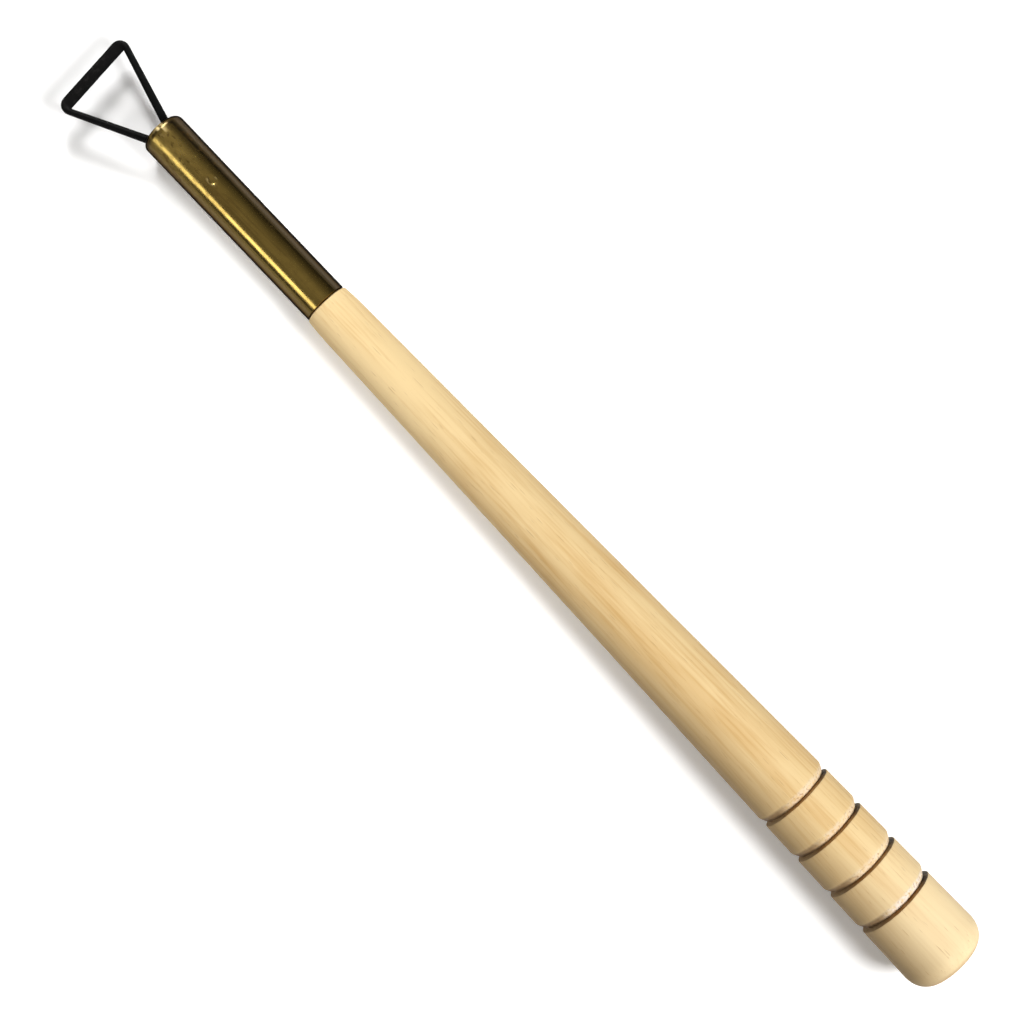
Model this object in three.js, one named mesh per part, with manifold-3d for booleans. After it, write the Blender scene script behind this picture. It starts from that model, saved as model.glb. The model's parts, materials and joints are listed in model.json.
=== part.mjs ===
// A potter's trimming tool: a turned wooden handle, a brass ferrule and a loop of bent wire.
// All sizes are millimetres. +X points from the butt to the loop and +Z is up.
// The tool lies on the plane Z = 0, on its grip and the nose of its ferrule.

import * as THREE from 'three';
import { mergeVertices } from 'three/addons/utils/BufferGeometryUtils.js';
import Module from 'manifold-3d';

const wasm = await Module();
wasm.setup();

// Handle, measured from the butt end at x = 0
const handleLength = 184.5;
const buttDiameter = 18.3;
const buttRounding = 4.7;
const buttRoundingDepth = 3.9;
const shoulderStep = 0.2;
const shoulderRounding = 0.3;
const throatLength = 6.5;
const throatRise = 0.35;
const throatReach = 4.0;
const taperHollow = 0.05;

// Grip grooves: each has a steep wall towards the butt, a narrow floor and a long lip towards the loop
const grooveCount = 4;
const groovePitch = 9.66;
const lastGrooveFromButt = 17.15;
const grooveDepth = 1.05;
const grooveWallLean = 0.3;
const grooveFloor = 0.15;
const grooveLip = 1.9;
const grooveLipKnee = 0.7;

// Ferrule
const ferruleDiameter = 9.8;
const ferruleLength = 49.25;
const ferruleWall = 0.5;
const noseRounding = 1.6;
const rearEdgeBreak = 0.12;

// Punch mark that locks the ferrule to the wood, its angle counted from the top towards -Y
const punchFromNose = 16.0;
const punchAngle = THREE.MathUtils.degToRad(6.7);
const punchTipRadius = 2.0;
const punchDepth = 0.45;

// Tenon inside the ferrule, and the cement between its end and the nose
const noseRoom = 5.2;
const tenonChamfer = 0.4;
const cementRecess = 0.3;

// Wire loop: corners of its centre line, x from the ferrule's nose and y from the handle's axis.
// The wire is round in its shanks, narrows along the legs and is hammered flat along the front bar.
const wireDiameter = 1.8;
const legTipWidth = 1.4;
const barWidth = 2.62;
const barThickness = 1.0;
const cornerNear = new THREE.Vector2(18.35, -6.95);
const cornerFar = new THREE.Vector2(16.9, 11.57);
const noseNear = -1.75;
const noseFar = 3.1;
const shankSpacing = 3.0;
const shankDepth = 28;
const cornerOuterRadius = 2.1;
const cornerInnerRadius = 0.1;
const shankBendRadius = 2.0;

// Clearances between neighbours
const jointGap = 0.3;
const seatGap = 0.3;
const boreClearance = 0.3;
const wireClearance = 0.3;

// Fineness of the round surfaces
const roundSides = 32;
const wireSides = 12;
const arcSteps = 6;
const cornerSteps = 8;
const taperSteps = 8;
const punchSides = 16;
const punchRings = 12;
const mergeTolerance = 1e-4;

// Sizes that follow from the ones above
const buttRadius = buttDiameter / 2;
const ferruleRadius = ferruleDiameter / 2;
const ferruleBore = ferruleRadius - ferruleWall;
const mouthRadius = ferruleRadius - noseRounding;
const shoulderRadius = ferruleRadius + shoulderStep;
const tenonRadius = ferruleBore - boreClearance;
const ferruleRear = handleLength + jointGap;
const nose = ferruleRear + ferruleLength;
const noseBend = nose - noseRounding;
const tenonEnd = nose - noseRoom;
const wireRadius = wireDiameter / 2;
const frontGroove = lastGrooveFromButt + (grooveCount - 1) * groovePitch;
const gripFront = frontGroove + grooveWallLean + grooveFloor + grooveLip;
const throatFront = handleLength - throatLength;

// The grip's underside and the nose of the ferrule lie on one straight line
const restSlope = (buttRadius - ferruleRadius) / (noseBend - buttRounding);
const restRadius = (x) => buttRadius - restSlope * (x - buttRounding);

const wood = new THREE.MeshStandardMaterial({ color: 0xe9cd9c, roughness: 0.62, metalness: 0.0 });
const brass = new THREE.MeshStandardMaterial({ color: 0x8a7434, roughness: 0.3, metalness: 1.0 });
const blackSteel = new THREE.MeshStandardMaterial({ color: 0x1b1b1c, roughness: 0.5, metalness: 0.7 });
const cement = new THREE.MeshStandardMaterial({ color: 0x4a3d26, roughness: 0.7, metalness: 0.0 });

// Turns a closed geometry into a solid, with its faces pointing out.
function solidOf(geometry) {
  const bare = geometry.clone();
  bare.deleteAttribute('normal');
  bare.deleteAttribute('uv');
  const merged = mergeVertices(bare, mergeTolerance);
  const corners = [];
  const index = merged.index.array;
  for (let i = 0; i < index.length; i += 3) {
    const [a, b, c] = [index[i], index[i + 1], index[i + 2]];
    if (a !== b && b !== c && c !== a) corners.push(a, b, c);
  }
  const mesh = (triVerts) => new wasm.Mesh({
    numProp: 3,
    vertProperties: merged.attributes.position.array,
    triVerts: new Uint32Array(triVerts),
  });
  const solid = new wasm.Manifold(mesh(corners));
  return solid.volume() > 0 ? solid : new wasm.Manifold(mesh(corners.reverse()));
}

function geometryOf(solid) {
  const mesh = solid.getMesh();
  const geometry = new THREE.BufferGeometry();
  geometry.setAttribute('position', new THREE.BufferAttribute(mesh.vertProperties, 3));
  geometry.setIndex(new THREE.BufferAttribute(mesh.triVerts, 1));
  geometry.computeVertexNormals();
  return geometry;
}

// Turns a profile of (radius, x) points about the X axis, with a flat side facing down.
function turned(profile) {
  const geometry = new THREE.LatheGeometry(profile, roundSides, Math.PI / roundSides);
  geometry.rotateZ(-Math.PI / 2);
  return solidOf(geometry);
}

// Points of an arc in a profile, from one angle to another, both counted from +X towards +radius.
function arc(x, radius, along, across, from, to) {
  const points = [];
  for (let i = 0; i <= arcSteps; i += 1) {
    const angle = from + ((to - from) * i) / arcSteps;
    points.push(new THREE.Vector2(radius + across * Math.sin(angle), x + along * Math.cos(angle)));
  }
  return points;
}

// One groove, from its steep wall on the butt side to the end of its lip, which eases into the land.
function grooveProfile(wall) {
  const floorStart = wall + grooveWallLean;
  const lipStart = floorStart + grooveFloor;
  const lipEnd = lipStart + grooveLip;
  const floorRadius = restRadius(wall) - grooveDepth;
  const landRadius = restRadius(lipEnd);
  const lip = new THREE.QuadraticBezierCurve(
    new THREE.Vector2(floorRadius, lipStart),
    new THREE.Vector2(landRadius, lipStart + grooveLipKnee * grooveLip),
    new THREE.Vector2(landRadius, lipEnd),
  );
  return [
    new THREE.Vector2(restRadius(wall), wall),
    new THREE.Vector2(floorRadius, floorStart),
    ...lip.getPoints(arcSteps),
  ];
}

function handleProfile() {
  const points = [new THREE.Vector2(0, 0)];
  const flatRadius = buttRadius - buttRoundingDepth;
  points.push(...arc(buttRounding, flatRadius, buttRounding, buttRoundingDepth, Math.PI, Math.PI / 2));
  for (let i = 0; i < grooveCount; i += 1) {
    points.push(...grooveProfile(lastGrooveFromButt + i * groovePitch));
  }

  // The taper runs from the grip to the throat and is a little hollow in its middle
  const throatRadius = shoulderRadius + throatRise;
  const taperStart = new THREE.Vector2(gripFront, restRadius(gripFront));
  const taperEnd = new THREE.Vector2(throatFront, throatRadius);
  const hollow = taperStart.clone().lerp(taperEnd, 0.5);
  hollow.y -= taperHollow;
  const taper = new THREE.SplineCurve([taperStart, hollow, taperEnd]);
  const end = taper.getTangent(1);
  const throat = new THREE.QuadraticBezierCurve(
    new THREE.Vector2(throatFront, throatRadius),
    new THREE.Vector2(throatFront + throatReach, throatRadius + (throatReach * end.y) / end.x),
    new THREE.Vector2(handleLength - shoulderRounding, shoulderRadius),
  );
  const swap = (point) => new THREE.Vector2(point.y, point.x);
  points.push(...taper.getPoints(taperSteps).slice(1).map(swap));
  points.push(...throat.getPoints(arcSteps).slice(1).map(swap));

  // Shoulder, then the tenon that fills the ferrule
  const shoulderEdge = handleLength - shoulderRounding;
  const edgeRadius = shoulderRadius - shoulderRounding;
  points.push(
    ...arc(shoulderEdge, edgeRadius, shoulderRounding, shoulderRounding, Math.PI / 2, 0).slice(1),
    new THREE.Vector2(tenonRadius, handleLength),
    new THREE.Vector2(tenonRadius, tenonEnd - tenonChamfer),
    new THREE.Vector2(tenonRadius - tenonChamfer, tenonEnd),
    new THREE.Vector2(0, tenonEnd),
  );
  return points;
}

// The tube's wall: out along the bore, round the rolled lip and back along the outside.
function ferruleProfile() {
  const lipRadius = noseRounding - ferruleWall;
  return [
    new THREE.Vector2(ferruleBore, ferruleRear),
    new THREE.Vector2(ferruleRadius - rearEdgeBreak, ferruleRear),
    new THREE.Vector2(ferruleRadius, ferruleRear + rearEdgeBreak),
    ...arc(noseBend, mouthRadius, noseRounding, noseRounding, Math.PI / 2, 0),
    ...arc(noseBend, mouthRadius, lipRadius, lipRadius, 0, Math.PI / 2),
    new THREE.Vector2(ferruleBore, ferruleRear),
  ];
}

// A button that fills the nose behind the lip and stops short of the tenon.
function cementProfile() {
  const front = nose - ferruleWall - cementRecess;
  const round = noseRounding - ferruleWall - cementRecess;
  const radius = mouthRadius + round;
  return [
    new THREE.Vector2(0, tenonEnd + seatGap),
    new THREE.Vector2(radius, tenonEnd + seatGap),
    ...arc(noseBend, mouthRadius, front - noseBend, round, Math.PI / 2, 0),
    new THREE.Vector2(0, front),
  ];
}

// A ball with its middle over the punch mark, seated so that the punch's tip reaches its depth.
function punchBall(radius) {
  const ball = new THREE.SphereGeometry(radius, punchSides, punchRings);
  const height = ferruleRadius + punchTipRadius - punchDepth;
  ball.translate(nose - punchFromNose, -height * Math.sin(punchAngle), height * Math.cos(punchAngle));
  return solidOf(ball);
}

// Centre line of the wire: shank, leg, front bar, leg, shank. grow lengthens the shanks.
function wireCentres(grow) {
  const shankEnd = tenonEnd - shankDepth - grow;
  const side = shankSpacing / 2;
  const bend = (corner, atNose, y) => {
    const x = (corner.x * (y - atNose)) / (corner.y - atNose);
    return new THREE.Vector2(nose + x, y);
  };
  const bendNear = bend(cornerNear, noseNear, -side);
  const bendFar = bend(cornerFar, noseFar, side);
  return [
    new THREE.Vector2(shankEnd, -side),
    bendNear,
    new THREE.Vector2(nose + cornerNear.x, cornerNear.y),
    new THREE.Vector2(nose + cornerFar.x, cornerFar.y),
    bendFar,
    new THREE.Vector2(shankEnd, side),
  ];
}

// Where two lines cross, each given by a point and a direction.
function crossing(p, u, q, v) {
  const reach = (q.x - p.x) * v.y - (q.y - p.y) * v.x;
  const scale = reach / (u.x * v.y - u.y * v.x);
  return new THREE.Vector2(p.x + u.x * scale, p.y + u.y * scale);
}

// Points of a corner that is rounded off with an arc.
function roundedCorner(corner, before, after, radius) {
  const turn = Math.atan2(before.cross(after), before.dot(after));
  const cut = radius * Math.tan(Math.abs(turn) / 2);
  const points = [];
  const start = corner.clone().addScaledVector(before, -cut);
  const side = Math.sign(turn);
  const centre = new THREE.Vector2(start.x - side * before.y * radius, start.y + side * before.x * radius);
  for (let i = 0; i <= cornerSteps; i += 1) {
    points.push(start.clone().rotateAround(centre, (turn * i) / cornerSteps));
  }
  return points;
}

// One edge of the wire seen from above. side is +1 for the loop's outer edge and -1 for its inner one.
function wireEdge(side, grow) {
  const centres = wireCentres(grow);
  const tip = legTipWidth / 2;
  const bar = barWidth / 2;
  const shankHalves = [wireRadius, wireRadius];
  const halves = [shankHalves, [wireRadius, tip], [bar, bar], [tip, wireRadius], shankHalves];
  const edges = halves.map(([first, last], i) => {
    const run = centres[i + 1].clone().sub(centres[i]).normalize();
    const out = new THREE.Vector2(run.y, -run.x).multiplyScalar(side);
    const from = centres[i].clone().addScaledVector(out, first + grow);
    const to = centres[i + 1].clone().addScaledVector(out, last + grow);
    return { from, to, along: to.clone().sub(from).normalize() };
  });
  const loopRadius = side > 0 ? cornerOuterRadius + grow : cornerInnerRadius;
  const bendRadius = shankBendRadius - side * (wireRadius + grow);
  const points = [edges[0].from];
  [bendRadius, loopRadius, loopRadius, bendRadius].forEach((radius, i) => {
    const corner = crossing(edges[i].from, edges[i].along, edges[i + 1].from, edges[i + 1].along);
    points.push(...roundedCorner(corner, edges[i].along, edges[i + 1].along, radius));
  });
  points.push(edges[edges.length - 1].to);
  return points;
}

// Half the wire's thickness at each ring: round along the legs and hammered flat along the bar.
function wireHalfHeights(grow) {
  const round = wireRadius + grow;
  const flat = barThickness / 2 + grow;
  const flattening = [[0, 0], [0, 1], [1, 0], [0, 0]];
  const heights = [round];
  for (const [before, after] of flattening) {
    for (let i = 0; i <= cornerSteps; i += 1) {
      const share = THREE.MathUtils.lerp(before, after, i / cornerSteps);
      heights.push(THREE.MathUtils.lerp(round, flat, THREE.MathUtils.smoothstep(share, 0, 1)));
    }
  }
  heights.push(round);
  return heights;
}

// The wire as a skin of rings between its two edges. grow gives the space that the wire needs.
function wireSolid(grow) {
  const outer = wireEdge(1, grow);
  const inner = wireEdge(-1, grow);
  const heights = wireHalfHeights(grow);
  const positions = [];
  const index = [];
  const rings = outer.length;
  for (let ring = 0; ring < rings; ring += 1) {
    const middle = outer[ring].clone().add(inner[ring]).multiplyScalar(0.5);
    const across = outer[ring].clone().sub(middle);
    for (let i = 0; i < wireSides; i += 1) {
      const angle = (2 * Math.PI * i) / wireSides;
      const point = middle.clone().addScaledVector(across, Math.cos(angle));
      positions.push(point.x, point.y, heights[ring] * Math.sin(angle));
    }
  }
  for (let ring = 0; ring < rings - 1; ring += 1) {
    for (let i = 0; i < wireSides; i += 1) {
      const next = (i + 1) % wireSides;
      const a = ring * wireSides + i;
      const b = ring * wireSides + next;
      index.push(a, b, a + wireSides, b, b + wireSides, a + wireSides);
    }
  }
  const last = (rings - 1) * wireSides;
  for (let i = 1; i < wireSides - 1; i += 1) {
    index.push(0, i + 1, i);
    index.push(last, last + i, last + i + 1);
  }
  const geometry = new THREE.BufferGeometry();
  geometry.setAttribute('position', new THREE.Float32BufferAttribute(positions, 3));
  geometry.setIndex(index);
  return solidOf(geometry);
}

function part(name, solid, material) {
  const mesh = new THREE.Mesh(geometryOf(solid), material);
  mesh.name = name;
  return mesh;
}

const wireSpace = wireSolid(wireClearance);

function makeHandle() {
  const dimple = punchBall(punchTipRadius + ferruleWall + boreClearance);
  return turned(handleProfile()).subtract(dimple).subtract(wireSpace);
}

function makeFerrule() {
  const skin = new THREE.CylinderGeometry(ferruleRadius, ferruleRadius, ferruleLength, roundSides, 1, false,
    Math.PI / roundSides);
  skin.rotateZ(-Math.PI / 2);
  skin.translate(ferruleRear + ferruleLength / 2, 0, 0);
  const dent = punchBall(punchTipRadius + ferruleWall).intersect(solidOf(skin));
  return turned(ferruleProfile()).add(dent).subtract(punchBall(punchTipRadius)).subtract(wireSpace);
}

const tool = new THREE.Group();
tool.add(
  part('handle', makeHandle(), wood),
  part('ferrule', makeFerrule(), brass),
  part('wire_loop', wireSolid(0), blackSteel),
  part('cement_plug', turned(cementProfile()).subtract(wireSpace), cement),
);

// Lay the tool down on its flat sides, with the origin under the middle of the butt's land
const flatFactor = Math.cos(Math.PI / roundSides);
const tilt = Math.atan(restSlope * flatFactor);
const landMiddle = (buttRounding + lastGrooveFromButt) / 2;
const landDrop = restRadius(landMiddle) * flatFactor;
tool.rotation.y = tilt;
tool.position.x = landDrop * Math.sin(tilt) - landMiddle * Math.cos(tilt);
tool.position.z = landDrop * Math.cos(tilt) + landMiddle * Math.sin(tilt);

const model = new THREE.Group();
model.add(tool);

export default model;
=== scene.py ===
"""Looks of a potter's trimming tool: a turned wooden handle, a brass ferrule and a loop of black wire.

The pieces are made in millimetres along the tool, with x from the butt to the nose, and are then laid
down where the solids lie, in metres. The solids give the tool's place, and the pieces stand for them.
"""

import json
import logging
import math
from dataclasses import dataclass, field
from enum import Enum
from typing import Any, NamedTuple, Optional, Union

import bmesh
import bpy
import numpy as np
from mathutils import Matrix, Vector, noise


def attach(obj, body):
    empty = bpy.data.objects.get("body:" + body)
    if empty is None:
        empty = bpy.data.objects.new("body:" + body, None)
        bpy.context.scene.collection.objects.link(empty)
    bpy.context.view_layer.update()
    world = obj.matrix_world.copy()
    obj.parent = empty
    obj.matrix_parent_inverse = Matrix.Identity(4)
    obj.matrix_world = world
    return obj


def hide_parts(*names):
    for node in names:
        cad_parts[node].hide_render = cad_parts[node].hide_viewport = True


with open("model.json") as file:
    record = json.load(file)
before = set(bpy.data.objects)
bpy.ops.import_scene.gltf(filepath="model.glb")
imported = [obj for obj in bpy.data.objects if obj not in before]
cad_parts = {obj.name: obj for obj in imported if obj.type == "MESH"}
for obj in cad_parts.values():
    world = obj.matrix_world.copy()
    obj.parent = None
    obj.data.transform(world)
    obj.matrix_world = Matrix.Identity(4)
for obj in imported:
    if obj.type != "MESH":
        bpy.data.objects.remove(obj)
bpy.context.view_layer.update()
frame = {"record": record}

LOG = logging.getLogger("trimming_tool")

MM = 0.001
BODY = "root"
QUARTER = math.pi / 2
# Room between neighbouring pieces, in millimetres
CLEARANCE = 0.3

Colour = tuple[float, float, float]
Point = tuple[float, float, float]
Span = tuple[float, float]


def linear(colour: Colour) -> tuple[float, float, float, float]:
    """Turn an sRGB colour into the linear one that shaders take.

    Args:
        colour: Red, green and blue from 0 to 255, as a screen shows them.

    Returns:
        Red, green, blue and alpha, linear, from 0 to 1.
    """
    shares = [channel / 255 for channel in colour]
    curve = [c / 12.92 if c <= 0.04045 else ((c + 0.055) / 1.055) ** 2.4 for c in shares]
    return (curve[0], curve[1], curve[2], 1.0)


def smooth(value: float, low: float, high: float) -> float:
    """Rise smoothly from 0 at one value to 1 at another.

    Args:
        value: Where to read the curve.
        low: The value at which the curve is 0.
        high: The value at which the curve is 1.

    Returns:
        A share from 0 to 1.
    """
    share = min(max((value - low) / (high - low), 0.0), 1.0)
    return share * share * (3 - 2 * share)


def wander(x: float, y: float, z: float, seed: float = 0.0) -> float:
    """Give smooth noise at a point, in steps of the noise, from about -1 to 1."""
    return noise.noise(Vector((x + seed, y - seed, z + 2 * seed)))


@dataclass(frozen=True)
class Ripple:
    """An unevenness of a surface: its depth in millimetres, and its steps in a millimetre."""

    depth: float
    along: float
    across: float
    seed: float = 0.0

    def at(self, x: float, y: float, z: float) -> float:
        """Give the height at a point, in millimetres along and across the tool."""
        return self.depth * wander(x * self.along, y * self.across, z * self.across, self.seed)


@dataclass(frozen=True)
class Figure:
    """A layer of noise in a finish: steps in a millimetre, the range that shows, and how strongly."""

    per_mm: Point
    detail: float = 2.0
    offset: float = 0.0
    span: Span = (0.0, 1.0)
    share: float = 1.0
    eased: bool = True


@dataclass(frozen=True)
class Zone:
    """Where along an axis of the row's frame, in metres, a mark sets in and is full, and how strongly."""

    axis: str
    start: float
    full: float
    share: float = 1.0
    eased: bool = True


# Shader expressions


class Signal:
    """A number on its way through a material's nodes, used in expressions as a plain number is."""

    def __init__(self, shader: "Shader", socket: bpy.types.NodeSocket) -> None:
        """Keep the shader and the socket that gives the number.

        Args:
            shader: The shader whose nodes an expression adds to.
            socket: The output that holds the number.
        """
        self.shader = shader
        self.socket = socket

    def math(self, operation: str, first: "Value", second: "Value" = 0.0) -> "Signal":
        """Add a Math node.

        Args:
            operation: The Math node's operation.
            first: Its first value.
            second: Its second value.

        Returns:
            The result as a signal.
        """
        return self.shader.add("ShaderNodeMath", {"operation": operation}, {0: first, 1: second})

    def __add__(self, other: "Value") -> "Signal":
        """Give self + other."""
        return self.math("ADD", self, other)

    def __radd__(self, other: "Value") -> "Signal":
        """Give other + self."""
        return self.math("ADD", other, self)

    def __sub__(self, other: "Value") -> "Signal":
        """Give self - other."""
        return self.math("SUBTRACT", self, other)

    def __rsub__(self, other: "Value") -> "Signal":
        """Give other - self."""
        return self.math("SUBTRACT", other, self)

    def __mul__(self, other: "Value") -> "Signal":
        """Give self * other."""
        return self.math("MULTIPLY", self, other)

    def __rmul__(self, other: "Value") -> "Signal":
        """Give other * self."""
        return self.math("MULTIPLY", other, self)

    def clamped(self) -> "Signal":
        """Give the value held between 0 and 1."""
        return self.ramp(0.0, 1.0)

    def ramp(self, low: float, high: float, smoothly: bool = False) -> "Signal":
        """Map a range of values to 0 to 1, and hold the rest at its ends.

        Args:
            low: The value that becomes 0.
            high: The value that becomes 1.
            smoothly: Whether the ends of the ramp are eased.

        Returns:
            The result as a signal.
        """
        shape = "SMOOTHSTEP" if smoothly else "LINEAR"
        settings = {"interpolation_type": shape, "clamp": True}
        return self.shader.add("ShaderNodeMapRange", settings, {0: self, 1: low, 2: high})


Value = Union[Signal, float]
Owner = Union[bpy.types.Material, bpy.types.World]


class Shader:
    """The node tree of a material or a world, from an empty tree to its output."""

    def __init__(self, owner: Owner, output: str = "ShaderNodeOutputMaterial") -> None:
        """Empty the owner's tree.

        Args:
            owner: The material or world that the nodes belong to.
            output: The type of its output node.
        """
        self.owner = owner
        self.output = output
        owner.use_nodes = True
        self.tree = owner.node_tree
        self.tree.nodes.clear()

    def add(
        self,
        kind: str,
        settings: Optional[dict[str, Any]] = None,
        sockets: Optional[dict[Union[int, str], Any]] = None,
        output: Union[int, str] = 0,
    ) -> Signal:
        """Add a node, with its settings first and then its sockets.

        Args:
            kind: The node's type.
            settings: The node's properties by name.
            sockets: Values or signals for its inputs, by number or name.
            output: The output to give back, by number or name.

        Returns:
            The chosen output as a signal.
        """
        node = self.tree.nodes.new(kind)
        for name, value in (settings or {}).items():
            setattr(node, name, value)
        for key, value in (sockets or {}).items():
            if isinstance(value, Signal):
                self.tree.links.new(value.socket, node.inputs[key])
            else:
                node.inputs[key].default_value = value
        return Signal(self, node.outputs[output])

    def place(self) -> Signal:
        """Give the point in the row's frame, in metres."""
        return self.add("ShaderNodeTexCoord", output="Object")

    def along(self, axis: str) -> Signal:
        """Give one coordinate of the point in the row's frame, in metres."""
        return self.add("ShaderNodeSeparateXYZ", None, {0: self.place()}, output=axis)

    def mark(self, name: str) -> Signal:
        """Give a mark that the mesh carries at its vertices, by name."""
        return self.add("ShaderNodeAttribute", {"attribute_name": name}, output="Fac")

    def noise(self, figure: Figure) -> Signal:
        """Add a figure's noise in the row's frame.

        Args:
            figure: The layer of noise.

        Returns:
            The plain noise, from 0 to 1 with 0.5 in its middle.
        """
        scale = tuple(steps / MM for steps in figure.per_mm)
        sockets = {"Vector": self.place(), "Location": (figure.offset,) * 3, "Scale": scale}
        stretched = self.add("ShaderNodeMapping", {"vector_type": "POINT"}, sockets)
        sockets = {"Vector": stretched, "Scale": 1.0, "Detail": figure.detail}
        return self.add("ShaderNodeTexNoise", {"noise_dimensions": "3D"}, sockets)

    def figure(self, figure: Figure) -> Signal:
        """Give a figure's noise with its range stretched, from 0 to its share."""
        return figure.share * self.noise(figure).ramp(*figure.span, figure.eased)

    def zone(self, zone: Zone) -> Signal:
        """Give how far a zone has set in at the point, from 0 to its share."""
        return zone.share * self.along(zone.axis).ramp(zone.start, zone.full, zone.eased)

    def blend(self, first: Union[Signal, Colour], second: Union[Signal, Colour], share: Value) -> Signal:
        """Mix two colours.

        Args:
            first: An sRGB colour or a signal of one.
            second: An sRGB colour or a signal of one.
            share: How much of the second colour there is, from 0 to 1.

        Returns:
            The mixed colour as a signal.
        """
        paints = [paint if isinstance(paint, Signal) else linear(paint) for paint in (first, second)]
        settings = {"data_type": "RGBA", "blend_type": "MIX", "clamp_factor": True}
        return self.add("ShaderNodeMix", settings, {0: share, 6: paints[0], 7: paints[1]}, output=2)

    def bump(self, height: Signal, depth_mm: float, below: Optional[Signal] = None) -> Signal:
        """Raise the surface in its shading.

        Args:
            height: The relief, from 0 to 1.
            depth_mm: How high 1 stands, in millimetres.
            below: A bump that this one lies on.

        Returns:
            The bent normal as a signal.
        """
        sockets: dict[Union[int, str], Any] = {"Height": height, "Strength": 1.0, "Distance": depth_mm * MM}
        if below is not None:
            sockets["Normal"] = below
        return self.add("ShaderNodeBump", None, sockets)

    def finish(self, surface: Signal) -> Owner:
        """Connect the surface to the output.

        Args:
            surface: The shader to show.

        Returns:
            The finished material or world.
        """
        node = self.tree.nodes.new(self.output)
        self.tree.links.new(surface.socket, node.inputs["Surface"])
        return self.owner

    def principled(self, sockets: dict[str, Any]) -> Owner:
        """Finish with one principled surface, from values or signals for its sockets by name."""
        return self.finish(self.add("ShaderNodeBsdfPrincipled", None, sockets))


# Finishes


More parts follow.
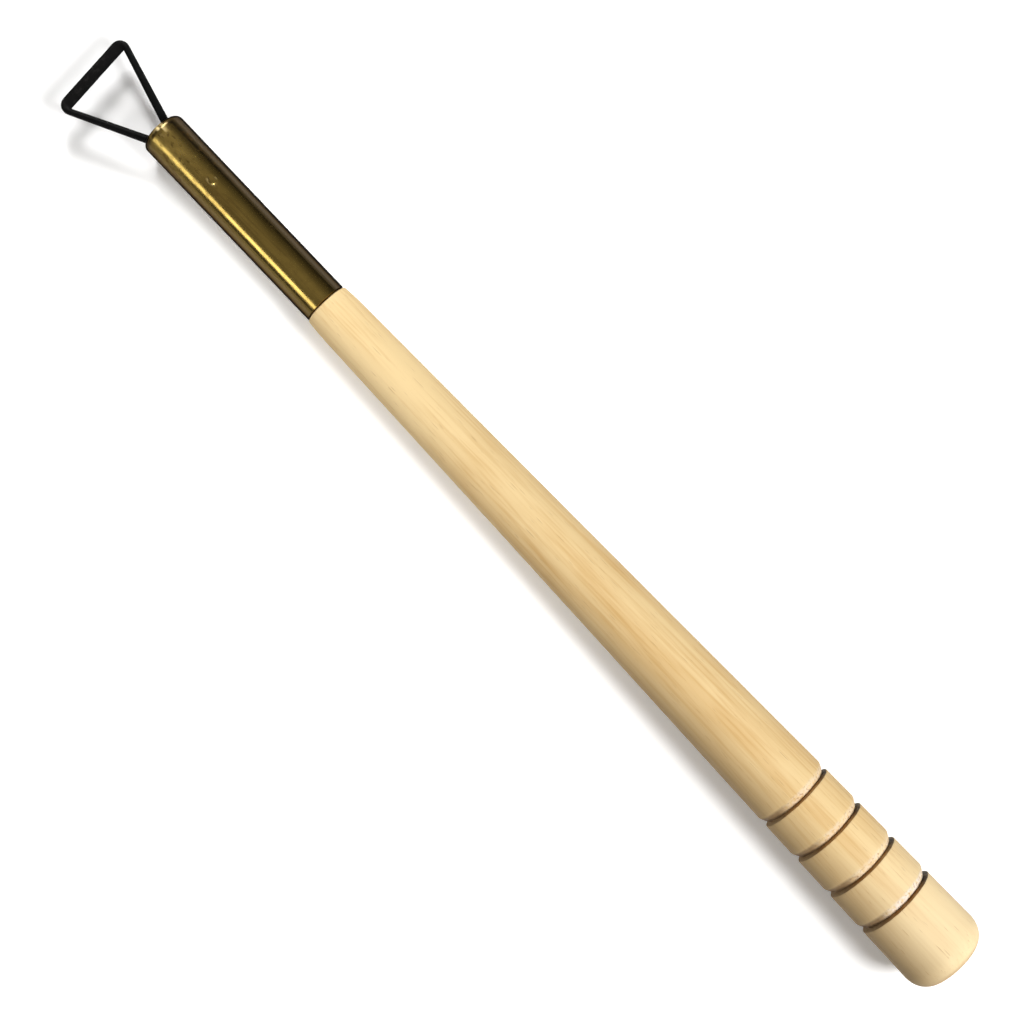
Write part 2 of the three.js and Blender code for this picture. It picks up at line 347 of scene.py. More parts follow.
@dataclass(frozen=True)
class TurnedWood:
    """Pale, bare, fine-grained wood, turned and sanded, with walls burnt by a wire."""

    early: Colour = (252, 223, 167)
    late: Colour = (223, 180, 114)
    # The next colour is painted light, for the strongly lit butt.
    painted_pale: Colour = (255, 234, 192)
    # The next colour is painted shade, for the shaded +Y side of the grip.
    painted_shade: Colour = (192, 162, 116)
    fleck: Colour = (186, 142, 92)
    end_grain: Colour = (190, 152, 104)
    fibre: Colour = (255, 243, 230)
    crumb: Colour = (168, 122, 84)
    # The next colour is partly burnt wood and partly painted shade: near-black where the groove is seen
    # edge-on at the -Y edge.
    char_and_groove_shade: Colour = (50, 36, 14)
    sienna: Colour = (144, 100, 46)
    # The next colour is painted shade: the grey-brown of the grooves on the shaded +Y side.
    shade_brown: Colour = (134, 106, 74)
    streaks: Figure = Figure((0.018, 1.7, 1.7), 3, span=(0.42, 0.72), share=0.36)
    bands: Figure = Figure((0.006, 0.32, 0.32), offset=8.6, span=(0.45, 0.68), share=0.34)
    clouds: Figure = Figure((0.05, 0.12, 0.12), 2, 11.0, (0.3, 0.75), 0.4, eased=False)
    pores: Figure = Figure((0.22, 4.2, 4.2), 1, 3.0, (0.66, 0.78), 0.42)
    torn: Figure = Figure((0.9, 1.5, 1.5), 4, 5.0, (0.34, 0.56), 0.85, eased=False)
    crumbs: Figure = Figure((1.6, 1.6, 1.6), 3, 19.0, (0.54, 0.68), 0.55)
    soot: Figure = Figure((0.9, 0.6, 0.6), 2, 17.0, (0.2, 0.6), 0.2, eased=False)
    # The next three zones paint light: less late grain towards the ferrule and at the butt, and paler wood at
    # the butt.
    neck_painted_light: Zone = Zone("X", 0.11, 0.165, 0.25, eased=False)
    butt_painted_light: Zone = Zone("X", 0.02, -0.006, 0.22, eased=False)
    butt_painted_pale: Zone = Zone("X", 0.025, 0.0, 0.55, eased=False)
    # The next two zones lay painted shade on the +Y side of the grip.
    grip_painted_shade: Zone = Zone("X", 0.12, 0.06, eased=False)
    side_painted_shade: Zone = Zone("Y", 0.0, 0.0085, 0.85, eased=False)
    # The next five zones paint shade around the tool: black burn at the -Y edge, and grey-brown lines, less
    # burn and no pale fibre on the +Y side.
    burn_browner: Zone = Zone("Y", -0.0078, -0.0042)
    burn_fading: Zone = Zone("Y", 0.0015, 0.0065)
    burn_thinner: Zone = Zone("Y", 0.002, 0.008, 0.3)
    lip_shaded: Zone = Zone("Y", 0.0012, 0.0054, 0.9)
    fibre_in_shade: Zone = Zone("Y", 0.0005, 0.005, 0.85, eased=False)
    burn_span: Span = (0.2, 0.85)
    end_share: float = 0.7
    grain_depth: float = 0.03
    torn_depth: float = 0.3
    roughness: float = 0.6
    roughness_of_grain: float = 0.12
    gloss: float = 0.3

    def grain(self, shader: Shader) -> Signal:
        """Colour the plain wood.

        Args:
            shader: The material's nodes.

        Returns:
            The colour of the grain, with bands, streaks and pores, painted paler at the butt and the neck
            where the light is strongest, and with painted shade on the +Y side of the grip.
        """
        late = shader.figure(self.streaks) + shader.figure(self.bands) + shader.figure(self.clouds)
        # Painted light: less late grain towards the ferrule and at the butt.
        late = late - shader.zone(self.neck_painted_light) - shader.zone(self.butt_painted_light)
        colour = shader.blend(self.early, self.late, late.clamped())
        # Painted light: paler wood at the butt.
        colour = shader.blend(colour, self.painted_pale, shader.zone(self.butt_painted_pale))
        # Painted shade: the +Y side of the grip is darkened.
        shaded = shader.zone(self.grip_painted_shade) * shader.zone(self.side_painted_shade)
        colour = shader.blend(colour, self.painted_shade, shaded)
        colour = shader.blend(colour, self.fleck, shader.figure(self.pores))
        return shader.blend(colour, self.end_grain, self.end_share * shader.mark("end"))

    def scorch(self, shader: Shader, under: Signal) -> Signal:
        """Burn the grooves; the change of their colour around the tool is painted shade, near-black at the -Y
        edge and grey-brown on the +Y side.

        Args:
            shader: The material's nodes.
            under: The colour of the wood below.

        Returns:
            The colour with the burnt lines on it.
        """
        # Painted shade: the burn turns near-black at the -Y edge and grey-brown on the +Y side.
        burnt = shader.blend(self.char_and_groove_shade, self.sienna, shader.zone(self.burn_browner))
        burnt = shader.blend(burnt, self.shade_brown, shader.zone(self.burn_fading))
        lip = shader.mark("lip")
        under = shader.blend(under, self.crumb, lip * shader.figure(self.crumbs))
        # Painted shade: the lip turns grey-brown on the +Y side.
        under = shader.blend(under, self.shade_brown, lip * shader.zone(self.lip_shaded))
        # The burn mark also carries the painted shade at the shoulder.
        share = shader.mark("burn").ramp(*self.burn_span, smoothly=True)
        share = share * (1.0 - self.soot.share + shader.figure(self.soot))
        # Painted shade: less burn on the +Y side.
        return shader.blend(under, burnt, share * (1.0 - shader.zone(self.burn_thinner)))

    def material(self) -> bpy.types.Material:
        """Build the wood.

        Returns:
            The material, with long grain, torn pale fibre in the grooves and their burnt lines.
        """
        shader = Shader(bpy.data.materials.new("turned_wood"))
        fibre = shader.mark("fibre")
        # Painted shade: the pale fibre is hidden on the +Y side.
        pale = fibre * shader.figure(self.torn) * (1.0 - shader.zone(self.fibre_in_shade))
        colour = shader.blend(self.grain(shader), self.fibre, pale)
        fine = shader.noise(self.streaks)
        relief = shader.bump(fine, self.grain_depth)
        sockets = {
            "Base Color": self.scorch(shader, colour),
            "Roughness": self.roughness + self.roughness_of_grain * fine,
            "Specular IOR Level": self.gloss,
            "Normal": shader.bump(shader.noise(self.torn) * fibre, self.torn_depth, relief),
        }
        return shader.principled(sockets)


@dataclass(frozen=True)
class AgedBrass:
    """Drawn brass tube: tarnished, streaked along its length and speckled towards its nose, with painted
    reflections: dark on its sides and nose, pale at its edges and golden along its top.
    """

    clean: Colour = (164, 140, 74)
    tarnish: Colour = (138, 115, 60)
    # The next colour is painted shade: the dark reflection on the sides and the nose of the tube.
    painted_dark_reflection: Colour = (57, 48, 32)
    gold: Colour = (196, 168, 92)
    # The next colour is bright metal: partly wear, partly painted highlight and glint.
    bright: Colour = (236, 214, 160)
    stain: Colour = (78, 60, 32)
    # The next colour is painted reflection: the pale floor mirrored at the tube's edges.
    pale_edge_reflection: Colour = (100, 92, 82)
    edge_tint: Colour = (96, 92, 86)
    clouds: Figure = Figure((0.09, 0.35, 0.35), 4, 2.0, (0.35, 0.7))
    streaks: Figure = Figure((0.05, 3.0, 3.0), 3, 9.0, (0.5, 0.75), 0.3)
    specks: Figure = Figure((0.8, 1.3, 1.3), 4, 21.0, (0.52, 0.66))
    gilt: Figure = Figure((0.35, 0.6, 0.6), 3, 33.0, (0.46, 0.66))
    waves: Figure = Figure((0.05, 0.5, 0.5), 1, 27.0)
    front: Zone = Zone("X", 0.2, 0.221)
    # The next zone lays gold on the top and +Y side towards the nose: partly rubbed metal, partly painted
    # reflection.
    rubbed: Zone = Zone("Y", -0.002, -0.0002)
    # The next zones paint dark reflections on the sides and the nose of the tube.
    painted_dark_front: Zone = Zone("Y", -0.0004, -0.0022, 0.4)
    dark: tuple[Zone, ...] = (
        Zone("Y", -0.0012, -0.004, 0.66),
        Zone("Y", -0.0024, -0.0031, 0.4),
        Zone("Y", 0.0024, 0.0036, 0.8),
        Zone("X", 0.2212, 0.2226, 0.8),
    )
    # The next two zones paint that reflection on both edges.
    near_edge_reflection: Zone = Zone("Y", -0.0032, -0.0042, 0.45)
    far_edge_reflection: Zone = Zone("Y", 0.0034, 0.0044, 0.45)
    tarnish_of_clouds: float = 0.7
    tarnish_of_front: float = 0.3
    gilt_share: float = 0.12
    rub_and_reflection_share: float = 0.35
    rub_and_reflection_gilt: float = 0.5
    speck_share: float = 0.12
    front_specks: float = 0.55
    roughness: float = 0.16
    roughness_of_clouds: float = 0.04
    roughness_of_front: float = 0.12
    roughness_of_specks: float = 0.05
    roughness_of_wear: float = 0.4
    wave_depth: float = 0.01
    speck_depth: float = 0.0012
    metallic: float = 0.95

    def skin(self, shader: Shader, front: Signal, clouds: Signal, specks: Signal) -> Signal:
        """Colour the metal.

        Args:
            shader: The material's nodes.
            front: How near the nose the point is.
            clouds: The clouds of tarnish.
            specks: The speckles.

        Returns:
            The colour, from clean metal to tarnish, with painted reflections: dark on the sides and the nose,
            golden along the top towards the nose, and the pale floor at the edges.
        """
        dull = self.tarnish_of_clouds * clouds + self.tarnish_of_front * front
        gilt = shader.figure(self.gilt)
        # Gold towards the nose: partly rubbed metal, partly painted reflection.
        rubbed = (self.rub_and_reflection_share + self.rub_and_reflection_gilt * gilt) * (front * shader.zone(self.rubbed))
        # Painted dark reflections on the sides and the nose.
        dark = sum((shader.zone(zone) for zone in self.dark), front * shader.zone(self.painted_dark_front))
        spots = specks * (self.speck_share + self.front_specks * front)
        colour = shader.blend(self.clean, self.tarnish, dull.clamped())
        colour = shader.blend(colour, self.gold, self.gilt_share * gilt + rubbed)
        # Painted dark reflections.
        colour = shader.blend(colour, self.painted_dark_reflection, dark.clamped())
        colour = shader.blend(colour, self.stain, shader.figure(self.streaks))
        colour = shader.blend(colour, self.stain, spots.clamped())
        # Painted reflection of the floor at both edges.
        return shader.blend(colour, self.pale_edge_reflection, shader.zone(self.near_edge_reflection) + shader.zone(self.far_edge_reflection))

    def material(self) -> bpy.types.Material:
        """Build the brass.

        Returns:
            The material, with tarnish, streaks, speckles, painted reflections, and bright patches that are
            partly wear and partly painted highlight.
        """
        shader = Shader(bpy.data.materials.new("aged_brass"))
        front, wear_and_glint = shader.zone(self.front), shader.mark("wear_and_glint")
        clouds, specks = shader.figure(self.clouds), shader.figure(self.specks)
        rough = self.roughness + self.roughness_of_clouds * clouds + self.roughness_of_front * front
        rough = rough + self.roughness_of_specks * specks + self.roughness_of_wear * wear_and_glint
        relief = shader.bump(shader.noise(self.waves), self.wave_depth)
        sockets = {
            # Bright patches and glints: partly wear, partly painted highlight.
            "Base Color": shader.blend(self.skin(shader, front, clouds, specks), self.bright, wear_and_glint),
            "Metallic": self.metallic,
            "Roughness": rough,
            "Specular Tint": linear(self.edge_tint),
            "Normal": shader.bump(specks * front, self.speck_depth, relief),
        }
        return shader.principled(sockets)


@dataclass(frozen=True)
class BlackenedSteel:
    """Black, satin steel wire, with the marks of the hammer on its flat bar."""

    black: Colour = (6, 6, 6)
    # The next colour is the flat bar's, a little lighter: painted light, for the light its flat face catches.
    bar: Colour = (11, 11, 11)
    grey: Colour = (38, 37, 36)
    soot: Colour = (6, 6, 6)
    dents: Figure = Figure((0.55, 0.55, 0.55), 1, 4.0)
    rubs: Figure = Figure((1.3, 1.3, 1.3), 4, 8.0, (0.5, 0.72))
    dust: Figure = Figure((5.0, 5.0, 5.0), 2, 14.0, (0.45, 0.7), 0.7, eased=False)
    rub_share: float = 0.15
    rub_share_of_bar: float = 0.3
    dent_share: float = 0.3
    dent_depth: float = 0.12
    dust_depth: float = 0.01
    roughness: float = 0.5
    roughness_of_dust: float = 0.15
    polish_of_rubs: float = 0.06
    gloss: float = 0.06

    def material(self) -> bpy.types.Material:
        """Build the steel.

        Returns:
            The material, a black skin with grey rubs and hammered dents.
        """
        shader = Shader(bpy.data.materials.new("blackened_steel"))
        flat, rubs, dust = shader.mark("flat"), shader.figure(self.rubs), shader.noise(self.dust)
        # Painted light: the flat bar is a little lighter than the round wire.
        colour = shader.blend(self.black, self.bar, flat)
        colour = shader.blend(colour, self.soot, shader.figure(self.dust))
        dents = shader.noise(self.dents) * (self.dent_share + (1 - self.dent_share) * flat)
        rubbed = (self.rub_share + self.rub_share_of_bar * flat) * rubs
        sockets = {
            "Base Color": shader.blend(colour, self.grey, rubbed),
            "Roughness": self.roughness + self.roughness_of_dust * dust - self.polish_of_rubs * rubs,
            "Specular IOR Level": self.gloss,
            "Normal": shader.bump(dust, self.dust_depth, shader.bump(dents, self.dent_depth)),
        }
        return shader.principled(sockets)


@dataclass(frozen=True)
class DarkCement:
    """Dull filler, brown and gritty, that closes the ferrule around the wire."""

    brown: Colour = (88, 72, 46)
    dark: Colour = (46, 36, 24)
    grit: Figure = Figure((2.2, 2.2, 2.2), 4, 6.0, (0.35, 0.65), eased=False)
    grit_depth: float = 0.12
    roughness: float = 0.8

    def material(self) -> bpy.types.Material:
        """Build the cement.

        Returns:
            The material, with grit and dark hollows.
        """
        shader = Shader(bpy.data.materials.new("dark_cement"))
        sockets = {
            "Base Color": shader.blend(self.brown, self.dark, shader.figure(self.grit)),
            "Roughness": self.roughness,
            "Normal": shader.bump(shader.noise(self.grit), self.grit_depth),
        }
        return shader.principled(sockets)


@dataclass(frozen=True)
class WhiteSweep:
    """White paper that shows as plain white where it is lit and keeps its shadows, which are painted lighter
    at the neck and deeper round the loop.
    """

    paper: float = 0.35
    # The next three gains paint the shadows: lighter at the neck and deeper round the loop than at the butt.
    shadow_gain_at_butt: float = 1.22
    lighter_shadow_gain_at_neck: float = 1.5
    deeper_shadow_gain_at_loop: float = 0.74
    lift: float = 0.11
    neck: Zone = Zone("X", 0.04, 0.13)
    loop: Span = (0.055, 0.014)
    loop_middle: Point = (0.25, 0.0, 0.0)
    tool_middle: Point = (0.117, 0.0, 0.0)
    pool: Span = (0.145, 0.28)

    def material(self) -> bpy.types.Material:
        """Build the paper.

        Returns:
            The material, plain for soft light, and lifted to white where it is seen or mirrored.
        """
        shader = Shader(bpy.data.materials.new("white_sweep"))

        def diffuse(shade: float) -> Signal:
            """Give matt paper of one shade."""
            return shader.add("ShaderNodeBsdfDiffuse", None, {"Color": (shade, shade, shade, 1.0)})

        def both(first: Signal, second: Signal) -> Signal:
            """Lay the light of one shader over that of another."""
            return shader.add("ShaderNodeAddShader", None, {0: first, 1: second})

        def either(first: Signal, second: Signal, share: Value) -> Signal:
            """Go from one shader to another."""
            return shader.add("ShaderNodeMixShader", None, {0: share, 1: first, 2: second})

        def away(middle: Point, span: Span) -> Signal:
            """Rise with the distance from a point."""
            sockets = {0: shader.place(), 1: middle}
            distance = shader.add("ShaderNodeVectorMath", {"operation": "DISTANCE"}, sockets, "Value")
            return distance.ramp(*span, smoothly=True)

        shade = self.lift + (1.0 - self.lift) * away(self.tool_middle, self.pool)
        glow = shader.add("ShaderNodeEmission", None, {"Color": shade, "Strength": 1.0})
        # Painted shadow depth: the paper's brightness changes along the tool.
        grip = both(diffuse(1.0), diffuse(self.shadow_gain_at_butt - 1.0))
        bright = both(diffuse(1.0), diffuse(self.lighter_shadow_gain_at_neck - 1.0))
        lit = either(grip, bright, shader.zone(self.neck))
        lit = either(lit, diffuse(self.deeper_shadow_gain_at_loop), away(self.loop_middle, self.loop))
        kinds = ("Camera", "Glossy", "Transmission")
        rays = [shader.add("ShaderNodeLightPath", output=f"Is {kind} Ray") for kind in kinds]
        seen = (rays[0] + rays[1] + rays[2]).clamped()
        return shader.finish(either(diffuse(self.paper), both(lit, glow), seen))


@dataclass(frozen=True)
class SoftSky:
    """The light of the room, dim at the horizon and brighter overhead."""

    tint: Colour = (255, 247, 236)
    horizon: float = 0.07
    overhead: float = 0.3

    def world(self) -> bpy.types.World:
        """Build the room's light.

        Returns:
            The world.
        """
        shader = Shader(bpy.data.worlds.new("room"), "ShaderNodeOutputWorld")
        way = shader.add("ShaderNodeTexCoord", output="Generated")
        up = shader.add("ShaderNodeSeparateXYZ", None, {0: way}, output="Z").clamped()
        strength = self.horizon + self.overhead * (up * up * up * up)
        sockets = {"Color": linear(self.tint), "Strength": strength}
        return shader.finish(shader.add("ShaderNodeBackground", None, sockets))


# Meshes


def added(name: str, data: bpy.types.ID) -> bpy.types.Object:
    """Make an object and put it in the scene.

    Args:
        name: The object's name.
        data: Its mesh, lamp or camera.

    Returns:
        The new object, at the origin.
    """
    item = bpy.data.objects.new(name, data)
    bpy.context.scene.collection.objects.link(item)
    return item


class Ends(Enum):
    """How a skin of rings ends."""

    CAPPED = "a face on the first and last ring"
    LOOPED = "the last ring joins the first"


@dataclass
class Lie:
    """How the tool lies: where its butt is and which way it points."""

    butt: Vector
    along: Vector
    across: Vector = field(default_factory=lambda: Vector((0.0, 1.0, 0.0)))

    @classmethod
    def from_record(cls, record: dict[str, Any]) -> "Lie":
        """Read the lie from the flat face at the butt.

        Args:
            record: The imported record.

        Returns:
            The lie of the tool.
        """
        face = next(mount for mount in record["mounts"] if mount["name"] == "butt_face")
        return cls(butt=Vector(face["pos_m"]), along=-Vector(face["axis"]).normalized())

    def place(self, points: np.ndarray) -> np.ndarray:
        """Lay points down, and keep them above the surface.

        Args:
            points: Points along the tool in millimetres, in the last axis.

        Returns:
            Points in the row's frame, in metres.
        """
        up = self.along.cross(self.across)
        turn = np.array([list(self.along), list(self.across), list(up)])
        placed = points @ turn * MM + np.array(list(self.butt))
        placed[..., 2] = np.maximum(placed[..., 2], 0.0)
        return placed


@dataclass
class Skin:
    """A closed skin of rings, each with the same number of points."""

    name: str
    rings: np.ndarray
    ends: Ends = Ends.CAPPED
    marks: dict[str, np.ndarray] = field(default_factory=dict)
    crease: float = math.radians(42)

    def faces(self) -> list[list[int]]:
        """List the faces.

        Returns:
            The vertex numbers of each face.
        """
        count, sides = self.rings.shape[:2]
        steps = count if self.ends is Ends.LOOPED else count - 1
        found = []
        for ring in range(steps):
            here = ring * sides
            there = ((ring + 1) % count) * sides
            for side in range(sides):
                after = (side + 1) % sides
                found.append([here + side, here + after, there + after, there + side])
        if self.ends is Ends.CAPPED:
            found.append(list(range(sides))[::-1])
            found.append(list(range((count - 1) * sides, count * sides)))
        return found

    def build(self, lie: Lie) -> bpy.types.Object:
        """Make the mesh and its object.

        Args:
            lie: How the tool lies.

        Returns:
            The new object, at the origin with its place in its mesh.
        """
        mesh = bpy.data.meshes.new(self.name)
        points = lie.place(self.rings).reshape(-1, 3)
        mesh.from_pydata(points.tolist(), [], self.faces())
        for name, values in self.marks.items():
            layer = mesh.attributes.new(name, "FLOAT", "POINT")
            layer.data.foreach_set("value", np.asarray(values, dtype=np.float32).ravel())
        work = bmesh.new()
        work.from_mesh(mesh)
        bmesh.ops.recalc_face_normals(work, faces=work.faces)
        work.to_mesh(mesh)
        work.free()
        mesh.shade_smooth()
        mesh.set_sharp_from_angle(angle=self.crease)
        return added(self.name, mesh)


class Station(NamedTuple):
    """A point of a turned profile: its place along the tool, its radius and what marks it."""

    x: float
    radius: float
    burn: float = 0.0
    torn: float = 0.0
    outside: bool = False


def arc(middle: Span, reach: Span, turn: Span, steps: int) -> list[Station]:
    """Make a rounded edge of a profile.

    Args:
        middle: The place and the radius of its middle.
        reach: How far it reaches along the tool and outwards.
        turn: The angles of its two ends, counted from the tool's axis outwards.
        steps: How many steps it has.

    Returns:
        Stations from one end to the other, with both ends.
    """
    angles = [turn[0] + (turn[1] - turn[0]) * step / steps for step in range(steps + 1)]
    return [Station(middle[0] + reach[0] * math.cos(a), middle[1] + reach[1] * math.sin(a)) for a in angles]


def bow(first: Span, knee: Span, last: Span, share: float) -> Station:
    """Find a point on a curve between two points that is drawn towards a third.

    Args:
        first: The place and the radius of its start.
        knee: The point that draws it.
        last: Its end.
        share: How far along the curve the point is, from 0 to 1.

    Returns:
        The point as a plain station.
    """
    weights = ((1 - share) ** 2, 2 * share * (1 - share), share ** 2)
    x, radius = (sum(w * point[i] for w, point in zip(weights, (first, knee, last))) for i in (0, 1))
    return Station(x, radius)


def turned(stations: list[Station], sides: int) -> np.ndarray:
    """Turn a profile about the tool's axis.

    Args:
        stations: The profile's points.
        sides: How many points each ring has.

    Returns:
        The rings as an array of ring, side and coordinate.
    """
    angle = np.linspace(0, 2 * math.pi, sides, endpoint=False)
    radius = np.array([station.radius for station in stations])
    rings = np.zeros((len(stations), sides, 3))
    rings[:, :, 0] = np.array([station.x for station in stations])[:, None]
    rings[:, :, 1] = radius[:, None] * np.cos(angle)
    rings[:, :, 2] = radius[:, None] * np.sin(angle)
    return rings


def settle(piece: bpy.types.Object, node: str, material: bpy.types.Material) -> None:
    """Dress a piece and put it in its node's place.

    Args:
        piece: The new piece.
        node: The solid that the piece stands for.
        material: The piece's finish.
    """
    piece.data.materials.append(material)
    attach(piece, BODY)
    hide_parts(node)
    LOG.info("%s: %d vertices, stands for %s", piece.name, len(piece.data.vertices), node)


# Pieces of the tool


@dataclass
class Handle:
    """The turned handle: a round butt, a grip with grooves, a long taper and a tenon in the ferrule."""

    length: float = 184.5
    butt_radius: float = 9.15
    butt_rounding: float = 4.7
    butt_rounding_depth: float = 3.9
    butt_rings: tuple[float, ...] = (0.02, 0.25, 0.5, 0.75, 0.9)
    butt_steps: int = 24
    end_depth: float = 1.6
    shoulder_radius: float = 5.1
    shoulder_rounding: float = 0.3
    shoulder_steps: int = 6
    # The next value paints shade along the shoulder's edge, where it meets the ferrule, with the burnt
    # colour.
    shoulder_seam_shade: float = 0.75
    throat_length: float = 6.5
    throat_rise: float = 0.35
    throat_reach: float = 4.0
    throat_steps: int = 16
    taper_hollow: float = 0.05
    taper_steps: int = 80
    land_pitch: float = 0.6
    # Each groove: where its wall starts, and its share of the depth
    grooves: tuple[Span, ...] = ((17.15, 1.0), (26.81, 0.93), (36.47, 0.97), (46.13, 0.88))
    groove_depth: float = 1.05
    # Each point: how far before the wall, how far below the land, how burnt
    wall_edge: tuple[Point, ...] = ((0.35, 0.0, 0.0), (0.12, 0.01, 0.0), (0.03, 0.05, 0.55))
    wall_lean: float = 0.3
    wall_steps: int = 8
    # How far beyond the foot, how far below the floor, how burnt, how torn
    wall_foot: tuple[float, float, float, float] = (0.06, 0.01, 0.8, 0.3)
    groove_floor: float = 0.15
    floor_burn: float = 0.1
    groove_lip: float = 1.9
    lip_knee: float = 0.7
    lip_steps: int = 18
    lip_torn: Span = (0.45, 0.9)
    cleaner_from: Span = (21.0, 23.0)
    cleaner: float = 0.55
    tenon_radius: float = 4.1
    tenon_end: float = 228.85
    tenon_chamfer: float = 0.4
    tenon_core: float = 0.1
    rest_slope: float = 0.018661
    sides: int = 192
    lands: Ripple = Ripple(0.02, 0.11, 0.22)
    charred: Ripple = Ripple(0.06, 0.4, 0.5, 13.0)
    torn: tuple[Ripple, Ripple] = (Ripple(0.09, 1.1, 0.9, 5.0), Ripple(0.07, 3.0, 2.6, 9.0))
    ragged: float = 0.07
    ragged_steps: float = 0.6
    ragged_drift: float = 0.01
    ragged_plane: float = 1.0
    ragged_torn: float = 0.5
    wear_margin: float = 1.0
    finish: TurnedWood = TurnedWood()

    def grip_radius(self, x: float) -> float:
        """Give the radius of the grip at a place along the tool."""
        return self.butt_radius - self.rest_slope * (x - self.butt_rounding)

    def butt(self) -> list[Station]:
        """Make the profile of the butt.

        Returns:
            Stations from the middle of the flat end to the first land.
        """
        flat = self.butt_radius - self.butt_rounding_depth
        reach = (self.butt_rounding, self.butt_rounding_depth)
        rounding = arc((self.butt_rounding, flat), reach, (math.pi, QUARTER), self.butt_steps)
        return [Station(0.0, flat * share) for share in self.butt_rings] + rounding

    def groove(self, wall: float, share: float) -> list[Station]:
        """Make the profile of one groove.

        Args:
            wall: Where its wall starts, on the side towards the butt.
            share: How much of the full depth it has.

        Returns:
            Stations from the land before the wall to the end of the lip.
        """
        top = self.grip_radius(wall)
        floor = top - self.groove_depth * share
        foot = wall + self.wall_lean
        start = foot + self.groove_floor
        end = start + self.groove_lip
        land = self.grip_radius(end)
        found = [Station(wall - before, top - drop, burn) for before, drop, burn in self.wall_edge]
        edge = found[-1].radius
        for step in range(1, self.wall_steps + 1):
            down = step / self.wall_steps
            found.append(Station(wall + self.wall_lean * down, edge + (floor - edge) * down, 1.0))
        beyond, below, burn, torn = self.wall_foot
        found.append(Station(foot + beyond, floor - below, burn, torn))
        found.append(Station(start, floor, self.floor_burn, 1.0))
        knee = (start + self.lip_knee * self.groove_lip, land)
        for step in range(1, self.lip_steps + 1):
            along = step / self.lip_steps
            spot = bow((start, floor), knee, (end, land), along)
            found.append(spot._replace(torn=1.0 - smooth(along, *self.lip_torn)))
        return found

    def land(self, start: float, end: float) -> list[Station]:
        """Make the profile of a plain stretch of the grip.

        Args:
            start: Where it starts.
            end: Where it ends.

        Returns:
            Stations between the two ends, without them.
        """
        count = max(int((end - start) / self.land_pitch), 2)
        places = [start + (end - start) * step / count for step in range(1, count)]
        return [Station(x, self.grip_radius(x)) for x in places]

    def taper(self, start: float) -> list[Station]:
        """Make the profile from the last groove to the shoulder.

        Args:
            start: Where the taper starts.

        Returns:
            Stations along the taper and the throat, up to the shoulder's edge.
        """
        first = self.grip_radius(start)
        last_x = self.length - self.throat_length
        last = self.shoulder_radius + self.throat_rise
        found = []
        for step in range(1, self.taper_steps + 1):
            share = step / self.taper_steps
            hollow = 4 * self.taper_hollow * share * (1 - share)
            found.append(Station(start + (last_x - start) * share, first + (last - first) * share - hollow))
        slope = (last - first + 4 * self.taper_hollow) / (last_x - start)
        knee = (last_x + self.throat_reach, last + self.throat_reach * slope)
        edge = (self.length - self.shoulder_rounding, self.shoulder_radius)
        for step in range(1, self.throat_steps + 1):
            found.append(bow((last_x, last), knee, edge, step / self.throat_steps))
        return found

    def tenon(self) -> list[Station]:
        """Make the profile of the shoulder's edge and the tenon.

        Returns:
            Stations from the shoulder to the middle of the tenon's end.
        """
        rounding = self.shoulder_rounding
        middle = (self.length - rounding, self.shoulder_radius - rounding)
        edge = arc(middle, (rounding, rounding), (QUARTER, 0.0), self.shoulder_steps)
        # Painted shade: the burnt colour is laid along the shoulder's edge next to the ferrule.
        seam_shade = self.shoulder_seam_shade / self.shoulder_steps
        return [spot._replace(burn=seam_shade * step) for step, spot in enumerate(edge)][1:] + [
            Station(self.length, self.tenon_radius, 1.0),
            Station(self.tenon_end - self.tenon_chamfer, self.tenon_radius),
            Station(self.tenon_end, self.tenon_radius - self.tenon_chamfer),
            Station(self.tenon_end, self.tenon_core),
        ]

    def stations(self) -> list[Station]:
        """Make the whole profile.

        Returns:
            Stations from the middle of the butt to the middle of the tenon's end.
        """
        found = self.butt()
        place = self.butt_rounding
        for wall, share in self.grooves:
            found += self.land(place, wall - self.wall_edge[0][0]) + self.groove(wall, share)
            place = found[-1].x
        return found + self.taper(place) + self.tenon()

    def wear(self, rings: np.ndarray, stations: list[Station]) -> None:
        """Make the turned skin a little uneven: soft lands, ragged grooves.

        Args:
            rings: The rings to change.
            stations: The profile that they were turned from.
        """
        steps = self.ragged_steps
        for ring, (x, radius, burn, torn, _) in zip(rings, stations):
            if x > self.length - self.wear_margin or radius < self.wear_margin:
                continue
            for point in ring:
                _, y, z = point
                shift = self.lands.at(x, y, z) + burn * self.charred.at(x, y, z)
                shift += torn * sum(ripple.at(x, y, z) for ripple in self.torn)
                sideways = wander(self.ragged_plane, y * steps, z * steps, self.ragged_drift * x)
                point[0] += self.ragged * max(burn, self.ragged_torn * torn) * sideways
                point[1:] *= 1 + min(shift, 0.0) / radius

    def build(self, lie: Lie) -> None:
        """Build the handle and put it in its place.

        Args:
            lie: How the tool lies.
        """
        stations = self.stations()
        rings = turned(stations, self.sides)
        self.wear(rings, stations)
        rough = [1 - self.cleaner * smooth(spot.x, *self.cleaner_from) for spot in stations]
        marks = {
            # This mark holds the burnt walls of the grooves and the painted shade at the shoulder.
            "burn": [spot.burn for spot in stations],
            "lip": [spot.torn for spot in stations],
            "fibre": [spot.torn * share for spot, share in zip(stations, rough)],
            "end": [1 - smooth(spot.x, 0.0, self.end_depth) for spot in stations],
        }
        spread = {name: np.repeat(row, self.sides) for name, row in marks.items()}
        skin = Skin("wooden_handle", rings, marks=spread)
        settle(skin.build(lie), "handle", self.finish.material())


